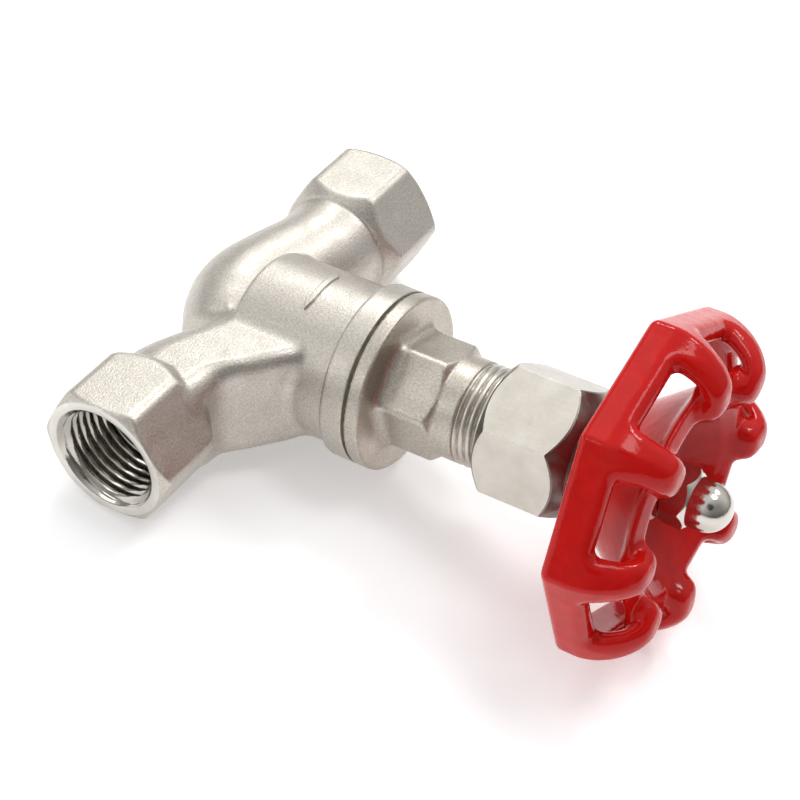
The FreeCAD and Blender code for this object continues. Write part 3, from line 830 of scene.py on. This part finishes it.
def cap_nut():
    """Domed cap nut: a small hexagon with a coned front, a shoulder and a ball end."""
    angles, hexagon = hexagon_angles(cap_turn, cap_flats, cap_bevel, 12)
    apothem = cap_flats / 2
    bore_top = cap_low + cap_bore_depth
    hex_top = cap_low + cap_hex_height
    centre = cap_high - dome_radius
    high_arc = hex_top - (hexagon - apothem + 0.1) * 0.95
    low_arc = cap_low + (hexagon - apothem) * 0.6
    rings = [(cap_bore_radius, bore_top), (cap_bore_radius, cap_low + 0.4), (cap_bore_radius + 0.4, cap_low),
             (apothem - 0.1, cap_low), (hexagon, low_arc + 0.05), (hexagon, (low_arc + high_arc) / 2),
             (hexagon, high_arc - 0.04), (hexagon - 0.06, high_arc + 0.05), (apothem - 0.1, hex_top),
             (dome_radius + 0.15, hex_top + 0.05), (dome_radius, hex_top + 0.2)]
    rings += [(dome_radius, hex_top + (centre - hex_top) * k / 3) for k in range(1, 4)]
    for k in range(1, dome_rings + 1):
        lift = math.pi / 2 * k / (dome_rings + 0.5)
        rings.append((dome_radius * math.cos(lift), centre + dome_radius * math.sin(lift)))
    points = turned_rings(rings, angles)
    around = len(angles)
    faces = ring_faces(len(rings), around, False)
    tip = len(points)
    bore_end = tip + 1
    points = np.vstack([points, [[0, 0, cap_high], [0, 0, bore_top]]])
    last = (len(rings) - 1) * around
    for j in range(around):
        n = (j + 1) % around
        faces.append((last + j, last + n, tip))
        faces.append((n, j, bore_end))
    made = piece("cap_nut_polished", points, faces, "spindle", cap_steel, 25)
    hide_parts("dome_nut")


# Handwheel

def arch(corner, z, inset):
    """Section of the arched posts: upright at the rim, then rounded over towards the middle."""
    across = wheel_corner - inset - arch_middle
    rise = wheel_front - inset - arch_shoulder
    u = np.maximum(corner - arch_middle, 0) / across
    v = np.maximum(z - arch_shoulder, 0) / rise
    over = ((u ** arch_fullness + v ** arch_fullness) ** (1 / arch_fullness) - 1) * min(across, rise)
    return np.maximum(over, corner - wheel_corner + inset)


def wheel_field(x, y, z):
    r = np.hypot(x, y)
    # The octagon through each point is known by its corner's radius, and each post by its nearest corner
    corner = many_sided(x, y, wheel_posts, 0, wheel_turn, wheel_vertex_round)
    corner = corner / math.cos(math.pi / wheel_posts)
    pitch = 2 * math.pi / wheel_posts
    azimuth = (np.arctan2(y, x) - math.radians(wheel_turn) + pitch / 2) % pitch - pitch / 2
    aside = np.abs(r * np.sin(azimuth))
    reach = np.clip((r - fingertip) / (wheel_corner - fingertip), 0, 1)
    half_width = (post_tip_width + (post_width - post_tip_width) * reach) / 2
    post = rounded(aside - half_width, fingertip - r, fingertip_corner)

    # The arched shell, with a window cut between each two posts and a ring left inside the windows
    outer = rounded(arch(corner, z, 0), rim_back - z, rim_edge)
    outer = smooth_meet(outer, rounded(fingertip - r, z - wheel_front, fingertip_round), 0.8)
    under_ring = smooth_meet(corner - ring_outer, ring_back - z, 1.0)
    hollow = smooth_meet(arch(corner, z, shell_wall), -under_ring, 1.0)
    shell = smooth_cut(outer, hollow, shell_edge)
    ring_top = ring_front - ring_slope * np.maximum(corner - dish_mouth, 0)
    strip = smooth_meet(corner - ring_outer, z - ring_top, ring_edge)
    window = rounded(-post, rim_front - z, window_corner)
    window = smooth_meet(window, -strip, window_blend)
    edge = window_edge + (post_edge - window_edge) * np.clip((z - rim_front) / post_edge_rise, 0, 1)
    solid = smooth_cut(shell, window, edge)

    # The dish, whose wall takes in the posts' fingers, with its skirt behind
    skirt = cone(r, z, dish_back, rim_back, dish_back_slope)
    skirt = smooth_meet(skirt, z - ring_front + skirt_step, skirt_edge)
    skirt = np.maximum(skirt, hub_back - z)
    solid = smooth_union(solid, skirt, skirt_blend)
    dish_slope = (dish_mouth - dish_floor) / (ring_front - hub_groove)
    dish = rounded(cone(r, z, dish_floor, hub_groove, dish_slope), hub_groove - z, dish_round)
    finger = np.maximum(post, ring_front - finger_foot - z)
    solid = smooth_cut(solid, smooth_meet(dish, -finger, finger_blend), dish_edge)

    # The hub and its square hole
    hub = rod(r, z, hub_radius, hub_back, hub_face, hub_edge)
    solid = smooth_union(solid, hub, hub_blend)
    square = math.radians(wheel_turn + 45)
    side_a = np.abs(x * math.cos(square) + y * math.sin(square))
    side_b = np.abs(y * math.cos(square) - x * math.sin(square))
    return np.maximum(solid, shaft_square / 2 - np.maximum(side_a, side_b))


def handwheel():
    reach = wheel_corner + side_margin
    low = (-reach, -reach, hub_back - grid_margin)
    high = (reach, reach, wheel_front + grid_margin)
    points, faces = skin(wheel_field, low, high, wheel_grid)
    made = piece("handwheel_coated", points, faces, "spindle", wheel_enamel)
    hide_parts("handwheel")


# Plain parts: these keep the solids' own shapes and only get a material

def dress(node, material):
    """Gives a solid that stays as it is its material."""
    mesh = frame["nodes"][node].data
    mesh.materials.clear()
    mesh.materials.append(material)


def dress_inner_parts():
    for node in ("packing_base", "packing_ring_low", "packing_ring_mid", "packing_ring_top", "packing_cap",
                 "disc_seat_ring"):
        dress(node, packing_ptfe)
    for node in ("disc", "disc_retainer", "disc_lock_washer", "disc_lock_nut", "packing_washer", "gland"):
        dress(node, faced_steel)
    dress("stem", stem_steel)
    dress("bonnet_gasket", gasket_fibre)
    dress("hub_washer", cap_steel)
    dress("hub_spring_washer", cap_steel)


# Stage, light and camera

def floor():
    paper = new_material("pale_floor")
    shader = add(paper, "ShaderNodeBsdfPrincipled", Base_Color=linear("#F7F7F8"), Roughness=0.9,
                 Emission_Color=linear("#FFFFFF"), Emission_Strength=0.3)
    add(paper, "ShaderNodeOutputMaterial", [("Surface", shader, "BSDF")])
    mesh = bpy.data.meshes.new("floor")
    half = 3.0
    corners = [(-half, -half, 0), (half, -half, 0), (half, half, 0), (-half, half, 0)]
    mesh.from_pydata(corners, [], [(0, 1, 2, 3)])
    made = bpy.data.objects.new("floor", mesh)
    bpy.context.scene.collection.objects.link(made)
    mesh.materials.append(paper)


def softbox(name, place, side, power):
    """A square lamp aimed at the valve."""
    light = bpy.data.lights.new(name, "AREA")
    light.shape = "RECTANGLE"
    light.size = side
    light.size_y = side
    light.energy = power
    made = bpy.data.objects.new(name, light)
    made.location = place
    made.rotation_euler = (Vector(lamp_aim) - Vector(place)).to_track_quat("-Z", "Y").to_euler()
    bpy.context.scene.collection.objects.link(made)


def tent_gap(world, place, towards, edge, middle, outside, inside):
    """The tent's strength, which falls round one direction from outside at its edge to inside at its middle."""
    facing = add(world, "ShaderNodeVectorMath", [(0, place, "Generated")], operation="DOT_PRODUCT")
    facing.inputs[1].default_value = towards
    return add(world, "ShaderNodeMapRange", [("Value", facing, "Value")], From_Min=edge, From_Max=middle,
               To_Min=outside, To_Max=inside)


def studio():
    """A white tent, grey near the table, with a dim front, a small dark hole in it and lamps round it."""
    for name, place, side, power in lamps:
        softbox(name, place, side, power)
    world = bpy.data.worlds.new("studio")
    bpy.context.scene.world = world
    world.use_nodes = True
    world.node_tree.nodes.clear()
    place = add(world, "ShaderNodeTexCoord")
    height = add(world, "ShaderNodeSeparateXYZ", [("Vector", place, "Generated")])
    tent = add(world, "ShaderNodeValToRGB", [("Fac", height, "Z")],
               [(0.0, "#7C7A78"), (0.22, "#D8D6D4"), (0.5, "#FFFFFF")])
    front = tent_gap(world, place, (-0.45, -0.80, 0.40), 0.5, 0.95, 0.8, 0.3)
    hole = tent_gap(world, place, (-0.63, -0.30, 0.72), 0.96, 0.98, 1.0, 0.15)
    strength = add(world, "ShaderNodeMath", [(0, front, "Result"), (1, hole, "Result")],
                   operation="MULTIPLY")
    background = add(world, "ShaderNodeBackground",
                     [("Color", tent, "Color"), ("Strength", strength, "Value")])
    add(world, "ShaderNodeOutputWorld", [("Surface", background, "Background")])
    bpy.context.scene.view_settings.view_transform = "Standard"


def camera():
    """Placed as the photograph's own camera: 47 degrees above the floor and rolled by 16 degrees."""
    place = Vector(camera_place) * MM
    target = Vector(camera_target) * MM
    data = bpy.data.cameras.new("camera")
    data.sensor_width = camera_width
    data.lens = camera_lens
    data.clip_start = 0.01
    data.clip_end = 20
    made = bpy.data.objects.new("camera", data)
    bpy.context.scene.collection.objects.link(made)
    turn = (target - place).to_track_quat("-Z", "Y")
    made.location = place
    made.rotation_mode = "QUATERNION"
    made.rotation_quaternion = turn @ Quaternion((0, 0, 1), math.radians(camera_roll))
    bpy.context.scene.camera = made


body_casting()
flow_arrow()
threaded_port("port_thread_outlet", -1)
threaded_port("port_thread_inlet", 1)
bonnet_casting()
bonnet_thread()
gland_nut()
handwheel()
cap_nut()
dress_inner_parts()
floor()
studio()
camera()
